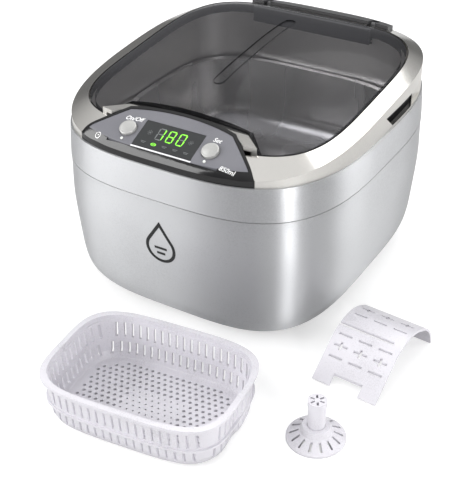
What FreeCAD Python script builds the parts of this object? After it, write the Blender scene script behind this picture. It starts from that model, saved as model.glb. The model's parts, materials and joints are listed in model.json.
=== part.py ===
"""Bench-top ultrasonic cleaner for jewellery, with its basket, watch stand and disc holder.

Millimetres, +Z up, front of the machine towards -Y. The origin is the centre of the
machine's base, on the surface that its feet stand on.
"""
import FreeCAD, Part
import math
import os
from FreeCAD import Placement, Rotation, Vector

DOC = FreeCAD.newDocument("ultrasonic_cleaner")
SHEET = DOC.addObject("Spreadsheet::Sheet", "sizes")

# Driving dimensions: alias, value in millimetres (angles in degrees).
SIZES = (
    # Silver housing: superelliptic plan, bulged flanks, rounded foot.
    ("body_width", 184), ("body_length", 207), ("housing_height", 109.5), ("band_height", 20.5),
    ("seam_gap", 0.4), ("wall", 2.5), ("top_power", 3.24), ("foot_power", 3.8),
    ("flank_bulge", 5.3), ("flank_taper", 13.2), ("bottom_radius", 21), ("foot_height", 3),
    ("lip_depth", 5), ("lip_thickness", 1.5), ("fit_gap", 0.3),
    # Base cover, feet, vents and screws.
    ("cover_inset", 4), ("cover_thickness", 2.5), ("ledge_width", 4), ("foot_radius", 8),
    ("foot_side_inset", 46), ("foot_end_inset", 45.5),
    ("vent_width", 3), ("vent_length", 34), ("vent_pitch", 8),
    ("boss_side_inset", 32), ("boss_end_inset", 63.5), ("boss_radius", 4), ("boss_height", 22),
    ("screw_radius", 1.5), ("screw_length", 16), ("head_radius", 2.8), ("head_height", 1.6),
    # Top frame: sloping rim, basin wall and deck.
    ("rim_inset", 1), ("rim_fall", 7.7), ("rim_drop", 17.5), ("rim_power", 2.4),
    ("rim_front", 3.6), ("rim_blend", 1.2), ("side_rim", 10.5), ("end_rim", 19.3),
    ("basin_power", 4.14), ("basin_rise", 18.1), ("basin_slope", 4.75), ("deck_drop", 15.5),
    ("deck_thickness", 2.5), ("grip_back", 41.5), ("grip_length", 62), ("grip_above", 1.1),
    ("grip_opening", 8.4), ("grip_wall", 1.2),
    # Tank.
    ("tank_edge_gap", 4.5), ("tank_front_gap", 16.2), ("tank_power", 3.4),
    ("tank_floor", 42.8), ("tank_wall", 0.8), ("tank_flange", 3.6), ("gasket_thickness", 0.8),
    ("tank_corner", 18),
    # Control panel.
    ("panel_setback", 13.3), ("panel_rise", 11.8), ("panel_slope", 23.6), ("panel_depth", 29.2),
    ("panel_top_half", 33.5), ("panel_base_half", 59), ("panel_skin", 2),
    ("surround_edge", 1.8), ("surround_depth", 6), ("shelf_width", 6), ("shelf_rise", 16),
    ("button_radius", 5), ("button_rise", 1.6), ("button_gap", 0.3), ("button_flange", 1),
    ("button_travel", 0.8), ("button_stem", 2.2), ("button_spacing", 2.8),
    ("display_length", 38.4), ("display_width", 18.2), ("board_drop", 12),
    ("board_thickness", 1.6), ("lamp_radius", 0.8), ("lamp_gap", 2.2),
    # Lid and hinge.
    ("lid_gap", 0.8), ("lid_rear_gap", 2), ("lid_rise", 12.3), ("lid_thickness", 2.4),
    ("lid_skirt", 5), ("channel_width", 7), ("channel_front_gap", 44.2), ("channel_rear_gap", 32.2),
    ("channel_depth", 1), ("hinge_back", 8.8), ("hinge_drop", 5.1), ("hinge_x", 38.5),
    ("arm_width", 4), ("knuckle_radius", 3.6), ("pin_radius", 1.5), ("pin_clearance", 0.05),
    ("hinge_cover_half", 50), ("hinge_cover_rise", 3), ("hinge_cover_gap", 3.4),
    ("hinge_cover_skin", 2), ("lug_width", 4),
    # Electronics and transducer.
    ("board_side_gap", 8), ("board_front_gap", 36.5), ("board_rear_gap", 9.7),
    ("board_height", 14), ("capacitor_radius", 5),
    ("front_mass_radius", 22), ("front_mass_height", 10), ("piezo_radius", 16),
    ("piezo_height", 4), ("back_mass_radius", 15.5), ("back_mass_height", 9),
    ("inlet_height", 28), ("inlet_length", 24), ("inlet_width", 14), ("inlet_proud", 1.5),
    # Loose accessories.
    ("basket_x", 33.6), ("basket_y", -165.6), ("basket_turn", 5.9), ("basket_half_x", 54.9),
    ("basket_half_y", 38.7), ("basket_height", 29.2), ("basket_wall", 1.6),
    ("basket_taper", 3.4), ("basket_power", 4), ("basket_rim", 1.6),
    ("stand_x", 97.4), ("stand_y", -99.4), ("stand_turn", -4.5), ("stand_width", 40),
    ("stand_thickness", 1.4), ("holder_x", 120.4), ("holder_y", -140.2), ("holder_radius", 15.9),
    ("post_radius", 4.7), ("post_height", 25.8), ("post_fit", 0.15),
)
# Sizes and places that follow from the driving ones, so that pieces stay together.
FOLLOWS = (
    ("seam_height", "housing_height - band_height"),
    ("foot_x", "body_width / 2 - foot_side_inset"), ("foot_y", "body_length / 2 - foot_end_inset"),
    ("boss_x", "body_width / 2 - boss_side_inset"),
    ("boss_y", "body_length / 2 - boss_end_inset"),
    ("basin_half_x", "body_width / 2 - side_rim"), ("basin_half_y", "body_length / 2 - end_rim"),
    ("basin_height", "housing_height + basin_rise"),
    ("rim_rear", "basin_height + tan(basin_slope) * body_length / 2 - rim_fall"),
    ("deck_height", "housing_height - deck_drop"),
    ("grip_end", "body_length / 2 - grip_back"), ("grip_start", "grip_end - grip_length"),
    ("grip_low", "housing_height + grip_above"), ("grip_high", "grip_low + grip_opening"),
    ("panel_y", "panel_setback - body_length / 2"), ("panel_top_y", "panel_depth - body_length / 2"),
    ("panel_height", "housing_height + panel_rise"),
    ("shelf_height", "housing_height + shelf_rise"),
    ("shelf_y", "panel_top_y + surround_edge + shelf_width"),
    ("tank_front", "shelf_y + tank_front_gap"), ("tank_rear", "basin_half_y - tank_edge_gap"),
    ("tank_half_x", "basin_half_x - tank_edge_gap"), ("tank_half_y", "(tank_rear - tank_front) / 2"),
    ("tank_y", "(tank_rear + tank_front) / 2"),
    ("tank_depth", "deck_height + gasket_thickness - tank_floor"),
    ("button_x", "display_length / 2 + button_spacing + button_radius"),
    ("lamp_v", "-button_radius - lamp_gap"),
    ("channel_front", "channel_front_gap - basin_half_y"),
    ("channel_rear", "basin_half_y - channel_rear_gap"),
    ("hinge_y", "basin_half_y + hinge_back"),
    ("hinge_z", "basin_height + tan(basin_slope) * basin_half_y - hinge_drop"),
    ("pcb_length", "2 * (boss_x - boss_radius - board_side_gap)"),
    ("pcb_rear", "tank_y - front_mass_radius - board_rear_gap"),
    ("pcb_width", "pcb_rear + body_length / 2 - board_front_gap"),
    ("pcb_y", "pcb_rear - pcb_width / 2"), ("pcb_height", "board_height"),
)
ROWS = SIZES + tuple((alias, f"={rule}") for alias, rule in FOLLOWS)
for row, (alias, value) in enumerate(ROWS, start=1):
    SHEET.set(f"A{row}", alias)
    SHEET.set(f"B{row}", str(value))
    SHEET.setAlias(f"B{row}", alias)
DOC.recompute()


class Sizes:
    """Plain numbers read back from the sheet, for shapes that no expression can drive."""

    def __getattr__(self, alias):
        return float(getattr(SHEET, alias))


S = Sizes()
UP = Vector(0, 0, 1)
PARTS = []


# ---------------------------------------------------------------- helpers

def keep(obj, label):
    """Name an object as one sub-part of the cleaner."""
    obj.Label = label
    PARTS.append(obj)
    return obj


def shaped(label, shape, place=None):
    """A sub-part whose shape no primitive or sketch can give."""
    obj = DOC.addObject("Part::Feature", label)
    obj.Shape = shape
    if place:
        obj.Placement = place
    return keep(obj, label)


def bound(kind, name, turn=None, **sizes):
    """A primitive whose sizes and place are expressions of the sheet."""
    obj = DOC.addObject(f"Part::{kind}", name)
    if turn:
        obj.Placement = Placement(Vector(), turn)
    for prop, text in sizes.items():
        path = f"Placement.Base.{prop}" if prop in ("x", "y", "z") else prop
        obj.setExpression(path, text)
    return obj


def box(name, length, width, height, x, y, z, turn=None):
    return bound("Box", name, turn, Length=length, Width=width, Height=height, x=x, y=y, z=z)


def rod(name, radius, height, x, y, z, turn=None):
    return bound("Cylinder", name, turn, Radius=radius, Height=height, x=x, y=y, z=z)


def fused(name, pieces):
    obj = DOC.addObject("Part::MultiFuse", name)
    obj.Shapes = pieces
    return obj


def cut(name, base, tool):
    obj = DOC.addObject("Part::Cut", name)
    obj.Base = base
    obj.Tool = tool
    return obj


def oval(half_x, half_y, power, height, centre_y=0.0, count=40):
    """Closed superelliptic wire; height is a number or a function of x and y."""
    points = []
    for i in range(count):
        angle = 2 * math.pi * i / count
        c, s = math.cos(angle), math.sin(angle)
        reach = (abs(c / half_x) ** power + abs(s / half_y) ** power) ** (-1 / power)
        x, y = reach * c, centre_y + reach * s
        points.append(Vector(x, y, height(x, y) if callable(height) else height))
    curve = Part.BSplineCurve()
    curve.interpolate(Points=points, PeriodicFlag=True,
                      Parameters=[i / count for i in range(count + 1)])
    return Part.Wire([curve.toShape()])


def prism(wire, low, high):
    """Upright solid on a closed wire's plan, from one height to another."""
    flat = wire.copy()
    flat.translate(Vector(0, 0, low - wire.CenterOfMass.z))
    return Part.Face(flat).extrude(Vector(0, 0, high - low))


def plan_oval(half_x, half_y, power, low, high, centre_y=0.0):
    return prism(oval(half_x, half_y, power, low, centre_y), low, high)


def block(x0, x1, y0, y1, z0, z1):
    return Part.makeBox(x1 - x0, y1 - y0, z1 - z0, Vector(x0, y0, z0))


def under(surface, x0, x1, y0, y1, depth, steps=14):
    """Solid of the given depth under a height field z = surface(x, y)."""
    grid = []
    for i in range(steps + 1):
        x = x0 + (x1 - x0) * i / steps
        ys = [y0 + (y1 - y0) * j / steps for j in range(steps + 1)]
        grid.append([Vector(x, y, surface(x, y)) for y in ys])
    field = Part.BSplineSurface()
    field.interpolate(grid)
    return field.toShape().extrude(Vector(0, 0, -depth))


def mirrored(shape):
    """The shape together with its mirror image across the centre plane."""
    return shape.fuse(shape.mirror(Vector(), Vector(1, 0, 0)))


def tube_path(points, radius, bend):
    """Round wire along straight runs joined by tangent arcs."""
    points = [Vector(*p) for p in points]
    edges, start = [], points[0]
    for before, corner, after in zip(points, points[1:], points[2:]):
        back = (before - corner).normalize()
        ahead = (after - corner).normalize()
        half = back.getAngle(ahead) / 2
        leg = bend / math.tan(half)
        first, last = corner + back * leg, corner + ahead * leg
        middle = (back + ahead).normalize()
        top = corner + middle * (bend / math.sin(half) - bend)
        edges += [Part.LineSegment(start, first).toShape(), Part.Arc(first, top, last).toShape()]
        start = last
    edges.append(Part.LineSegment(start, points[-1]).toShape())
    path = Part.Wire(edges)
    ring = Part.Wire([Part.Circle(points[0], points[1] - points[0], radius).toShape()])
    return path.makePipeShell([ring], True, True)


# ---------------------------------------------------------------- housing

HALF_X, HALF_Y = S.body_width / 2, S.body_length / 2
FLOOR = S.foot_height
LEDGE = FLOOR + S.cover_thickness
POST_INSET, POST_RADIUS = 5, 3


def flank(z):
    """Inset of the housing's surface from the overall half sizes, and its exponent."""
    u = 1 - z / S.housing_height
    inset = S.flank_taper * u * u - S.flank_bulge * u
    below = max(S.bottom_radius - z, 0)
    inset += S.bottom_radius - math.sqrt(S.bottom_radius ** 2 - below ** 2)
    return inset, S.top_power + (S.foot_power - S.top_power) * u


def section(z, inward=0.0, level=None):
    inset, power = flank(z)
    return oval(HALF_X - inset - inward, HALF_Y - inset - inward, power, z if level is None else level)


def housing_solid(low, high, inward=0.0):
    """Solid inside the housing's surface between two heights."""
    steps = [h for h in (5, 8, 13, 21, 34, 52, 70, 88, 100) if low + 1 < h < high - 1]
    return Part.makeLoft([section(z, inward) for z in [low] + steps + [high]], True, False)


def opening(z, inward):
    """Upright solid with the housing's own outline at one height."""
    return prism(section(z, inward), FLOOR - 1, FLOOR + 12)


def boss_places():
    return [(sx * S.boss_x, sy * S.boss_y) for sx in (-1, 1) for sy in (-1, 1)]


def lower_housing():
    shell = housing_solid(FLOOR, S.seam_height)
    shell = shell.cut(housing_solid(LEDGE + S.wall, S.seam_height + 1, S.wall))
    shell = shell.cut(opening(FLOOR, S.cover_inset))
    ledge_hole = opening(FLOOR, S.cover_inset + S.ledge_width)
    ledge = opening(FLOOR, S.cover_inset - 0.5).cut(ledge_hole)
    shell = shell.fuse(ledge.common(block(-200, 200, -200, 200, LEDGE, LEDGE + S.wall)))
    for x, y in boss_places():
        post = Part.makeCylinder(S.boss_radius, S.boss_height, Vector(x, y, LEDGE))
        rib_end = x + math.copysign(14, x)
        rib = block(min(x, rib_end), max(x, rib_end), y - 1, y + 1, LEDGE, LEDGE + S.boss_height - 6)
        rib = rib.common(housing_solid(FLOOR, S.seam_height, S.wall / 2))
        bore = Part.makeCylinder(S.screw_radius, S.screw_length + 1, Vector(x, y, LEDGE - 1))
        shell = shell.fuse([post, rib]).cut(bore)
    return shaped("lower_housing", shell.cut(inlet_hole()))


def inlet_hole():
    half_x, half_z = S.inlet_length / 2, S.inlet_width / 2
    z = S.inlet_height
    return block(-half_x, half_x, HALF_Y - 20, HALF_Y + 20, z - half_z, z + half_z)


def upper_housing():
    low = S.seam_height + S.seam_gap
    band = housing_solid(low, S.housing_height)
    band = band.cut(housing_solid(low - 1, S.housing_height + 1, S.wall))
    lip_out = S.wall + S.fit_gap / 2
    lip = housing_solid(low - S.lip_depth, low + 2.5, lip_out)
    lip = lip.cut(housing_solid(low - S.lip_depth - 1, low + 4, lip_out + S.lip_thickness))
    step = housing_solid(low, low + 2.5, S.wall - 0.2)
    step = step.cut(housing_solid(low - 1, low + 4, lip_out + 0.2))
    return shaped("upper_housing", band.fuse([lip, step]))


def base_cover():
    disc = opening(FLOOR, S.cover_inset + S.fit_gap)
    plate = disc.common(block(-200, 200, -200, 200, FLOOR, LEDGE))
    half_slot, first = S.vent_width / 2, 12
    free = S.pcb_length / 2 - POST_INSET - POST_RADIUS - 2 * half_slot
    cutters = []
    for i in range(int((free - first) / S.vent_pitch) + 1):
        for x in (first + i * S.vent_pitch, -first - i * S.vent_pitch):
            for y in (S.pcb_y + 5, S.pcb_y + 49):
                cutters.append(block(x - half_slot, x + half_slot, y, y + S.vent_length,
                                     FLOOR - 1, LEDGE + 1))
    for x, y in boss_places():
        cutters.append(Part.makeCylinder(S.screw_radius + 0.1, 9, Vector(x, y, FLOOR - 1)))
        head = Part.makeCylinder(S.head_radius + 0.2, S.head_height + 1.2, Vector(x, y, FLOOR - 1))
        cutters.append(head)
    plate = plate.cut(cutters)
    for x, y in pcb_posts():
        plate = plate.fuse(Part.makeCylinder(POST_RADIUS, S.pcb_height - LEDGE, Vector(x, y, LEDGE)))
    return shaped("base_cover", plate)


def pcb_posts():
    half_l, half_w = S.pcb_length / 2 - POST_INSET, S.pcb_width / 2 - POST_INSET
    return [(sx * half_l, S.pcb_y + sy * half_w) for sx in (-1, 1) for sy in (-1, 1)]


def corner_group(label, make, x, y):
    """Four like pieces at the corners of a rectangle, as one node."""
    return keep(fused(label, [make(f"{label}_{i}", f"{sx} * {x}", f"{sy} * {y}")
                              for i, (sx, sy) in enumerate(((-1, -1), (1, -1), (1, 1), (-1, 1)))]), label)


def rubber_feet():
    def foot(name, x, y):
        return rod(name, "sizes.foot_radius", "sizes.foot_height", x, y, "0")
    return corner_group("rubber_feet", foot, "sizes.foot_x", "sizes.foot_y")


def base_screws():
    def screw(name, x, y):
        seat = "sizes.foot_height + 0.2"
        head = rod(name + "_head", "sizes.head_radius", "sizes.head_height", x, y, seat)
        shank = rod(name + "_shank", "sizes.screw_radius", "sizes.screw_length - 1", x, y, seat)
        return fused(name, [head, shank])
    return corner_group("base_screws", screw, "sizes.boss_x", "sizes.boss_y")


# ---------------------------------------------------------------- top frame and tank

SLOPE = math.tan(math.radians(S.basin_slope))


def basin_z(x, y):
    """Height of the plane in which the lid's outline lies."""
    return S.basin_height + SLOPE * y


def rim_z(x, y):
    """Height of the rim's outer edge: level at the front, rising smoothly to the rear."""
    v = min(max((HALF_Y - y) / S.body_length, 0), 1)
    level = S.housing_height + S.rim_front
    rise = S.rim_rear - S.rim_drop * v ** S.rim_power - level
    return level + S.rim_blend * math.log1p(math.exp(rise / S.rim_blend))


def panel_base(x, y):
    """Face of the control panel: a slope that falls away to the corners and front edge."""
    tilt = math.tan(math.radians(S.panel_slope))
    reach = (abs(x / (HALF_X - S.rim_inset)) ** S.top_power
             + abs(y / (HALF_Y - S.rim_inset)) ** S.top_power) ** (1 / S.top_power)
    edge = min(max((reach - 0.95) / 0.05, 0), 1.6)
    corner = (abs(x) / S.panel_base_half) ** 4
    return S.panel_height + tilt * (y - S.panel_y) - 3 * edge ** 2 - 3.5 * corner


def panel_plan(grow, low, high, front=None):
    """Upright solid on the panel's outline: straight sides and a bowed top edge."""
    front = -HALF_Y - 10 if front is None else front
    top_x, base_x = S.panel_top_half + grow * 0.6, S.panel_base_half + grow * 1.3
    top_y = S.panel_top_y + grow - 3.6
    base_y = -HALF_Y + 4.5
    lean = (base_x - top_x) / (top_y - base_y)
    front_x = base_x + lean * (base_y - front)
    left, right = Vector(-top_x, top_y, low), Vector(top_x, top_y, low)
    crown = Vector(0, S.panel_top_y + grow, low)
    edges = [Part.LineSegment(Vector(-front_x, front, low), left).toShape(),
             Part.Arc(left, crown, right).toShape(),
             Part.LineSegment(right, Vector(front_x, front, low)).toShape(),
             Part.LineSegment(Vector(front_x, front, low), Vector(-front_x, front, low)).toShape()]
    return Part.Face(Part.Wire(edges)).extrude(Vector(0, 0, high - low))


def rim_outline(inward=0.0):
    inset = S.rim_inset + inward
    return HALF_X - inset, HALF_Y - inset, S.top_power


def rim_solid(inward, sink, wide):
    """Solid under the sloping rim, with the basin's outline grown by a width."""
    half_x, half_y, power = rim_outline(inward)
    low = S.housing_height - (1 if sink else 0)
    grown_x, grown_y = S.basin_half_x + wide, S.basin_half_y + wide
    solid = Part.makeLoft([oval(half_x, half_y, power, low),
                           oval(half_x, half_y, power, lambda x, y: rim_z(x, y) - sink),
                           oval(grown_x, grown_y, S.basin_power,
                                lambda x, y: basin_z(x, y) - sink)], True, True)
    return solid


def basin(grow, low, high):
    return plan_oval(S.basin_half_x + grow, S.basin_half_y + grow, S.basin_power, low, high)


def above_basin(lift):
    """Everything over the lid's plane, raised or lowered."""
    slab = Part.makeBox(600, 600, 100, Vector(-300, -300, 0))
    slab.Placement = Placement(Vector(0, 0, S.basin_height + lift),
                               Rotation(Vector(1, 0, 0), S.basin_slope))
    return slab


def grip_cutter(side, grow, x_in):
    """Slanted-front slot through the rim's side wall, under its top edge."""
    y0, y1 = S.grip_start - grow, S.grip_end + grow
    z0, z1 = S.grip_low - grow, S.grip_high + grow
    corners = [(y0 + 6, z0), (y1, z0), (y1, z1), (y0 - 4, z1)]
    points = [Vector(side * x_in, y, z) for y, z in corners]
    face = Part.Face(Part.makePolygon(points + points[:1]))
    return face.extrude(Vector(side * 30, 0, 0))


def hinge_slots(clear):
    """Ways through the frame and the cover in which the lid's arms swing."""
    half = S.arm_width / 2 + clear
    slot = block(S.hinge_x - half, S.hinge_x + half, S.basin_half_y - 6, S.hinge_y + 4.4,
                 S.hinge_z - 7, S.hinge_z + 30)
    return mirrored(slot)


COVER_WALL, COVER_DROP = 1.6, 3


def top_at(solid, x, y):
    """Height of a solid's top over one spot."""
    return solid.common(Part.makeLine(Vector(x, y, 0), Vector(x, y, 300))).BoundBox.ZMax


def hinge_lugs():
    """Blocks of the frame that hold the hinge pins, either side of each arm."""
    gap = S.arm_width / 2 + 0.6
    front, rear = S.basin_half_y + 1, S.hinge_y + S.pin_radius + 0.8
    wall_end = S.basin_half_y + S.hinge_cover_gap + COVER_WALL + S.fit_gap
    low, step = S.housing_height, S.hinge_z - COVER_DROP - S.fit_gap
    room = cover_room(S.fit_gap)
    lugs = []
    for start in (S.hinge_x - gap - S.lug_width, S.hinge_x + gap):
        far = start + S.lug_width
        tops = [min(top_at(room, start, y), top_at(room, far, y)) - 0.1 for y in (wall_end, rear)]
        corners = [(front, low), (front, step), (wall_end, step), (wall_end, tops[0]),
                   (rear, tops[1]), (rear, low)]
        points = [Vector(start, y, z) for y, z in corners]
        lugs.append(Part.Face(Part.makePolygon(points + points[:1])).extrude(Vector(S.lug_width, 0, 0)))
    return [mirrored(lug) for lug in lugs]


def cover_room(clear):
    """Solid below the inner face of the hinge cover."""
    return rim_solid(-1, S.hinge_cover_skin + clear - S.hinge_cover_rise, -3)


def pin_rods(radius, extra=0.0):
    reach = S.arm_width / 2 + S.lug_width - 0.4 + extra
    rod_shape = Part.makeCylinder(radius, 2 * reach, Vector(S.hinge_x - reach, S.hinge_y, S.hinge_z),
                                  Vector(1, 0, 0))
    return mirrored(rod_shape)


COVER_BACK = 1.6


def cover_plan(grow, low, high):
    """Outline of the hinge cover: the rear crescent of the rim."""
    half_x, half_y, power = rim_outline(COVER_BACK - grow)
    back = plan_oval(half_x, half_y, power, low - 5, high + 5)
    half = S.hinge_cover_half + grow
    return back.common(block(-half, half, S.basin_half_y + S.hinge_cover_gap - grow, HALF_Y + 9, low, high))


def top_frame():
    wall, deck_top = S.wall, S.deck_height
    deck_low = deck_top - S.deck_thickness
    frame = rim_solid(0, 0, 0).cut(rim_solid(wall, wall, wall))
    # A plug under the rim's inner edge; hollowed out, it leaves the skirt and the deck.
    plug = basin(wall - 0.3, deck_low, 162).cut(above_basin(-wall * 0.85))
    frame = frame.fuse(plug).cut(basin(0, deck_top, 161))
    # The shelf behind the panel and the wall between panel bay and basin.
    reach = S.surround_edge + S.shelf_width
    shelf = panel_plan(reach, deck_low, S.shelf_height).common(basin(0.5, deck_low - 3, 160))
    bay = panel_plan(reach - wall, deck_top + 0.01, S.shelf_height - wall)
    frame = frame.fuse(shelf.cut(bay))
    frame = frame.cut(panel_plan(S.surround_edge + S.fit_gap, S.housing_height - 3, 160))
    hole = plan_oval(S.tank_half_x + S.tank_wall + 0.5, S.tank_half_y + S.tank_wall + 0.5,
                     S.tank_power, deck_low - 1, deck_top + 1, S.tank_y)
    frame = frame.cut(hole)
    for side in (-1, 1):
        frame = frame.cut(grip_cutter(side, 0, HALF_X - S.rim_inset - wall - 2))
    frame = frame.cut(cover_plan(S.fit_gap, S.hinge_z - 7, 160)).cut(hinge_slots(1))
    frame = frame.fuse(hinge_lugs()).cut(pin_rods(S.pin_radius, 0.6))
    return shaped("top_frame", frame)


def grip_liner(side, label):
    """Black cup that lines one hand grip."""
    x_out = HALF_X - S.rim_inset - S.wall - 0.3
    x_in = S.basin_half_x + S.wall + 0.3
    outer = grip_cutter(1, S.grip_wall, x_in).common(block(0, x_out, -50, 100, 90, 140))
    room = grip_cutter(1, 0, x_in + S.grip_wall)
    shell = outer.cut(room)
    shell = shell.common(block(0, 200, -200, 200, S.housing_height + 0.2, 200))
    shell = shell.common(rim_solid(S.wall + 0.3, S.wall + 0.4, S.wall))
    if side < 0:
        shell = shell.mirror(Vector(), Vector(1, 0, 0))
    return shaped(label, shell)


def tank_z():
    return S.deck_height + S.gasket_thickness


def tank_shape(grow):
    """Solid filled by the tank: straight walls on a dished bottom edge."""
    top = tank_z() + (1 if grow == 0 else S.tank_wall)
    low = tank_z() + S.tank_wall - S.tank_depth - grow
    corner = S.tank_corner
    wires = []
    for share in (0, 0.15, 0.3, 0.45, 0.6, 0.8, 1):
        angle = share * math.pi / 2
        inward = corner * (1 - math.sin(angle))
        rise = corner * (1 - math.cos(angle))
        wires.append(oval(S.tank_half_x + grow - inward, S.tank_half_y + grow - inward,
                          S.tank_power, low + rise, S.tank_y))
    bowl = Part.makeLoft(wires, True, False)
    wall = plan_oval(S.tank_half_x + grow, S.tank_half_y + grow, S.tank_power,
                     low + corner, top, S.tank_y)
    return bowl.fuse(wall)


def tank():
    flange = plan_oval(S.tank_half_x + S.tank_flange, S.tank_half_y + S.tank_flange,
                       S.tank_power, tank_z(), tank_z() + S.tank_wall, S.tank_y)
    return shaped("tank", tank_shape(S.tank_wall).fuse(flange).cut(tank_shape(0)))


def tank_gasket():
    reach = S.tank_flange - 0.3
    band = plan_oval(S.tank_half_x + reach, S.tank_half_y + reach, S.tank_power,
                     S.deck_height, tank_z(), S.tank_y)
    hole = plan_oval(S.tank_half_x + S.tank_wall + 0.3, S.tank_half_y + S.tank_wall + 0.3,
                     S.tank_power, S.deck_height - 1, tank_z() + 1, S.tank_y)
    return shaped("tank_gasket", band.cut(hole))


# ---------------------------------------------------------------- control panel

TURN = Rotation(Vector(1, 0, 0), S.panel_slope)
PANEL_ORIGIN = Vector(0, S.panel_y, S.panel_height)


def panel_place(u, v, w):
    """Expressions for a point u across, v up the slope and w out of the panel."""
    return (f"{u}",
            f"sizes.panel_y + ({v}) * cos(sizes.panel_slope) - ({w}) * sin(sizes.panel_slope)",
            f"sizes.panel_height + ({v}) * sin(sizes.panel_slope) + ({w}) * cos(sizes.panel_slope)")


def panel_box(name, length, width, height, u, v, w):
    """Box centred on u, v in the panel's plane, standing on w."""
    corner = panel_place(f"{u} - ({length}) / 2", f"{v} - ({width}) / 2", w)
    return box(name, length, width, height, *corner, turn=TURN)


def panel_rod(name, radius, height, u, v, w):
    return rod(name, radius, height, *panel_place(u, v, w), turn=TURN)


def panel_hole(u, v, radius):
    start = PANEL_ORIGIN + TURN.multVec(Vector(u, v, -20))
    return Part.makeCylinder(radius, 40, start, TURN.multVec(UP))


def panel_slab(length, width, low, high):
    slab = Part.makeBox(length, width, high - low, Vector(-length / 2, -width / 2, low))
    slab.Placement = Placement(PANEL_ORIGIN, TURN)
    return slab


def panel_under(lift, depth):
    reach = S.panel_base_half + 16
    return under(lambda x, y: panel_base(x, y) + lift, -reach, reach,
                 -HALF_Y - 6, S.panel_top_y + 10, depth)


def control_panel():
    half_x, half_y, power = rim_outline(3)
    plate = panel_plan(0, 90, 150).common(plan_oval(half_x, half_y, power, 80, 160))
    plate = plate.common(panel_under(0, S.panel_skin))
    hole = S.button_radius + S.button_gap
    cutters = [panel_slab(S.display_length + S.fit_gap, S.display_width + S.fit_gap, -9, 9)]
    for side in (-1, 1):
        cutters.append(panel_hole(side * S.button_x, 0, hole))
        cutters.append(panel_hole(side * S.button_x, S.lamp_v, S.lamp_radius + 0.1))
    return shaped("control_panel", plate.cut(cutters))


def panel_surround():
    half_x, half_y, power = rim_outline(0)
    plan = panel_plan(S.surround_edge, 90, 150)
    edge = plan.common(plan_oval(half_x, half_y, power, 80, 160))
    body = edge.common(panel_under(0.3, S.surround_depth))
    body = body.common(block(-200, 200, -200, 0, S.housing_height + 0.1, 160))
    fx, fy, fp = rim_outline(3 - 0.15)
    pocket = panel_plan(0.15, 90, 150).common(plan_oval(fx, fy, fp, 80, 160))
    pocket = pocket.common(panel_under(4, 4 + S.panel_skin + 0.05))
    room = panel_slab(2 * (S.button_x + S.button_radius + 4), S.display_width + 2.5, -30, 9)
    front = edge.cut(plan_oval(half_x - S.wall, half_y - S.wall, power, 80, 160))
    front = front.common(block(-200, 200, -200, 0, S.housing_height + 0.1, 150))
    front = front.common(panel_under(0.3, 60))
    posts = []
    for side in (-1, 1):
        post = Part.makeCylinder(2.5, S.board_drop - 2, Vector(side * (S.button_x + 11), 0,
                                                              -S.board_drop))
        post.Placement = Placement(PANEL_ORIGIN, TURN)
        posts.append(post.common(panel_under(-S.panel_skin - 0.5, 60)))
    return shaped("panel_surround", body.fuse([front] + posts).cut([pocket, room]).fuse(posts))


def display_parts():
    window = panel_box("display_window", "sizes.display_length", "sizes.display_width", "1.6",
                       "0", "0", "-1.7")
    keep(window, "display_window")
    board_top = "-sizes.board_drop"
    module = panel_box("display_module", "sizes.display_length - 4", "sizes.display_width - 2",
                       "sizes.board_drop - 1.9", "0", "0", board_top)
    keep(module, "display_module")
    board = panel_box("control_board", "2 * sizes.button_x + 26", "sizes.display_width - 0.4",
                      "sizes.board_thickness", "0", "0", "-sizes.board_drop - sizes.board_thickness")
    keep(board, "control_board")
    stem_end = "sizes.board_drop - 4.6"
    switches = []
    for i, side in enumerate((-1, 1)):
        u = f"{side} * sizes.button_x"
        base = panel_box(f"switch_{i}", "6", "6", "3.4", u, "0", board_top)
        tip = panel_rod(f"switch_tip_{i}", "1.7", "3.6", u, "0", board_top)
        switches.append(fused(f"switch_body_{i}", [base, tip]))
    keep(fused("tact_switches", switches), "tact_switches")
    lights = [panel_rod(f"light_{i}", "sizes.lamp_radius", "sizes.board_drop + 0.15",
                        f"{side} * sizes.button_x", "sizes.lamp_v", board_top)
              for i, side in enumerate((-1, 1))]
    keep(fused("indicator_lights", lights), "indicator_lights")
    for side, label in ((-1, "on_off_button"), (1, "set_button")):
        u = f"{side} * sizes.button_x"
        cap = panel_rod(label + "_cap", "sizes.button_radius",
                        "sizes.button_rise + sizes.panel_skin + 0.6", u, "0",
                        "-sizes.panel_skin - 0.6")
        flange = panel_rod(label + "_flange", "sizes.button_radius + sizes.button_flange", "1", u, "0",
                           "-sizes.panel_skin - 1.6")
        stem = panel_rod(label + "_stem", "sizes.button_stem",
                         f"{stem_end} - sizes.panel_skin - sizes.button_travel", u, "0",
                         "-sizes.board_drop + 3.7 + sizes.button_travel")
        keep(fused(label, [cap, flange, stem]), label)


# ---------------------------------------------------------------- lid and hinge

def lid_z(x, y):
    """Outer face of the domed lid."""
    half_x, half_y = S.basin_half_x - S.lid_gap, S.basin_half_y - S.lid_gap
    reach = (abs(x / half_x) ** S.basin_power + abs(y / half_y) ** S.basin_power) ** (1 / S.basin_power)
    return basin_z(x, y) + S.lid_rise * (1 - min(reach, 1.15) ** 3)


def lid_plan(inward, low, high):
    shift = (S.lid_rear_gap - S.lid_gap) / 2
    plan = plan_oval(S.basin_half_x - S.lid_gap - inward,
                     S.basin_half_y - S.lid_gap - shift - inward, S.basin_power, low, high, -shift)
    notch = S.surround_edge + S.shelf_width + S.lid_gap + inward
    return plan.cut(panel_plan(notch, low - 1, high + 1))


def lid_under(drop, depth):
    half_x, half_y = S.basin_half_x + 2, S.basin_half_y + 2
    return under(lambda x, y: lid_z(x, y) - drop, -half_x, half_x, -half_y, half_y, depth, 26)


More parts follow.
